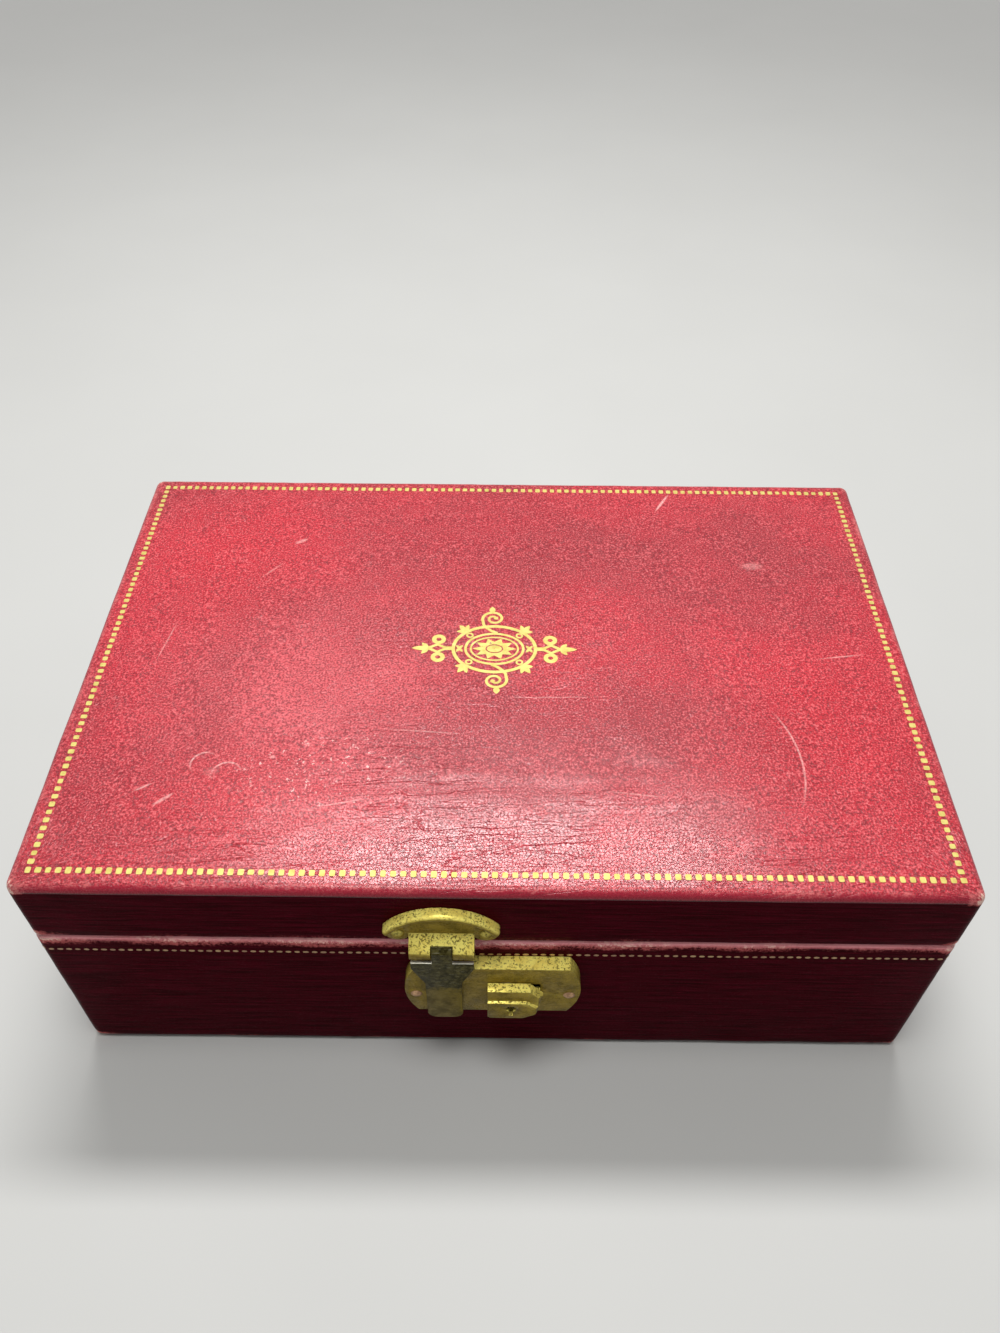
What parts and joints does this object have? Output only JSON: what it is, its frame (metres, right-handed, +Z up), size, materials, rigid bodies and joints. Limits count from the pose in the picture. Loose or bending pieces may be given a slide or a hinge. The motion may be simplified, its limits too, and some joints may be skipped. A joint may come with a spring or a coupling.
{
  "type": "musical jewelry box",
  "caption": "Leather covered jewelry box with a hinged padded lid, brass hasp latch, velvet lined compartments, mirror and a wind-up musical movement.",
  "frame": {"origin": "centre of the underside of the bottom board, on the surface that the box stands on", "axes": "+X along the width, to the right seen from the latch side; -Y towards the latch; +Z up"},
  "size_m": [0.264, 0.2033, 0.0944],
  "materials": {
    "red_leather": "grained, worn, satin gloss",
    "black_board": "matt paper covered",
    "pine": "planed, unfinished",
    "velvet": "short pile",
    "velvet_rolls": "short pile",
    "wadding": "soft",
    "satin": "satin",
    "brass": "stamped, pitted and tarnished",
    "copper_rivet": "dull",
    "worn_nickel": "worn plating",
    "steel": "plated",
    "spring_steel": "oiled",
    "mirror": "silvered",
    "gilt_frame": "polished"
  },
  "bodies": {
    "base": {"bottom_board": "black_board", "base_carcass": "pine", "base_leather": "red_leather", "base_lining": "velvet", "long_partition": "velvet", "cross_partitions": "velvet", "ring_riser": "velvet", "ring_rolls": "velvet_rolls", "music_cover": "velvet", "hinge_base_leaves": "brass", "hinge_pins": "steel", "hinge_base_screws": "brass", "lock_plate": "brass", "lock_shell": "brass", "lock_rivets": "copper_rivet", "hasp_pin": "steel", "hasp_spring": "spring_steel", "knob_spring": "spring_steel", "bedplate": "steel", "bedplate_screws": "steel", "cylinder_brackets": "steel", "comb_seat": "steel", "tone_comb": "spring_steel", "comb_screws": "steel", "governor_frame": "steel", "ratchet_click": "steel", "stop_spring": "spring_steel"},
    "lid": {"lid_carcass": "pine", "lid_wadding": "wadding", "lid_leather": "red_leather", "lid_lining": "satin", "mirror_frame": "gilt_frame", "mirror_glass": "mirror", "hinge_lid_leaves": "brass", "hinge_lid_screws": "brass", "catch_plate": "brass", "catch_rivets": "brass"},
    "hasp": {"hasp": "worn_nickel"},
    "knob": {"slide_knob": "brass", "latch_bolt": "steel"},
    "lock_cam": {"lock_cam": "steel"},
    "winding": {"winding_key": "steel", "winding_arbor": "steel"},
    "barrel": {"spring_barrel": "brass", "mainspring": "spring_steel"},
    "cylinder": {"tune_cylinder": "brass", "cylinder_shaft": "steel", "cylinder_pinion": "brass", "cylinder_wheel": "brass"},
    "governor": {"governor_arbor": "steel", "governor_wheel": "brass"},
    "fly": {"governor_worm": "steel", "fly_vanes": "brass"},
    "stop_wire": {"stop_wire": "steel"}
  },
  "joints": [
    {"name": "lid_hinge", "type": "hinge", "parent": "base", "child": "lid", "pos_m": [0, 0.0926, 0.0662], "axis": [-1, 0, 0], "range_deg": [0, 100]},
    {"name": "hasp_swing", "type": "hinge", "parent": "base", "child": "hasp", "pos_m": [-0.0148, -0.0933, 0.0316], "axis": [1, 0, 0], "range_deg": [0, 75]},
    {"name": "knob_slide", "type": "slide", "parent": "base", "child": "knob", "axis": [1, 0, 0], "range_m": [0, 0.005], "stiffness_N_per_m": 120, "springref_m": -0.003, "deforming": ["knob_spring"]},
    {"name": "lock_turn", "type": "hinge", "parent": "knob", "child": "lock_cam", "pos_m": [0.00495, -0.09445, 0.0409], "axis": [0, 1, 0], "range_deg": [0, 90]},
    {"name": "key_turn", "type": "hinge", "parent": "base", "child": "winding", "pos_m": [0.064, 0.09, 0.03], "axis": [0, 1, 0], "continuous": true},
    {"name": "barrel_turn", "type": "hinge", "parent": "base", "child": "barrel", "pos_m": [0.064, 0.073, 0.03], "axis": [0, 1, 0], "continuous": true},
    {"name": "cylinder_turn", "type": "hinge", "parent": "base", "child": "cylinder", "pos_m": [0.0875, 0.0622, 0.03], "axis": [1, 0, 0], "continuous": true},
    {"name": "governor_turn", "type": "hinge", "parent": "base", "child": "governor", "pos_m": [0.1, 0.0622, 0.04], "axis": [1, 0, 0], "continuous": true},
    {"name": "fly_turn", "type": "hinge", "parent": "base", "child": "fly", "pos_m": [0.10325, 0.05458, 0.04], "axis": [0, 0, 1], "continuous": true},
    {"name": "stop_rise", "type": "slide", "parent": "base", "child": "stop_wire", "axis": [0, 0, 1], "range_m": [0, 0.003], "deforming": ["stop_spring"]}
  ],
  "couplings": [
    {"joint": "cylinder_turn", "follows": "barrel_turn", "ratio": -2},
    {"joint": "governor_turn", "follows": "barrel_turn", "ratio": 8},
    {"joint": "fly_turn", "follows": "barrel_turn", "ratio": 240},
    {"joint": "stop_rise", "follows": "lid_hinge", "m_per_rad": 0.0017189}
  ]
}
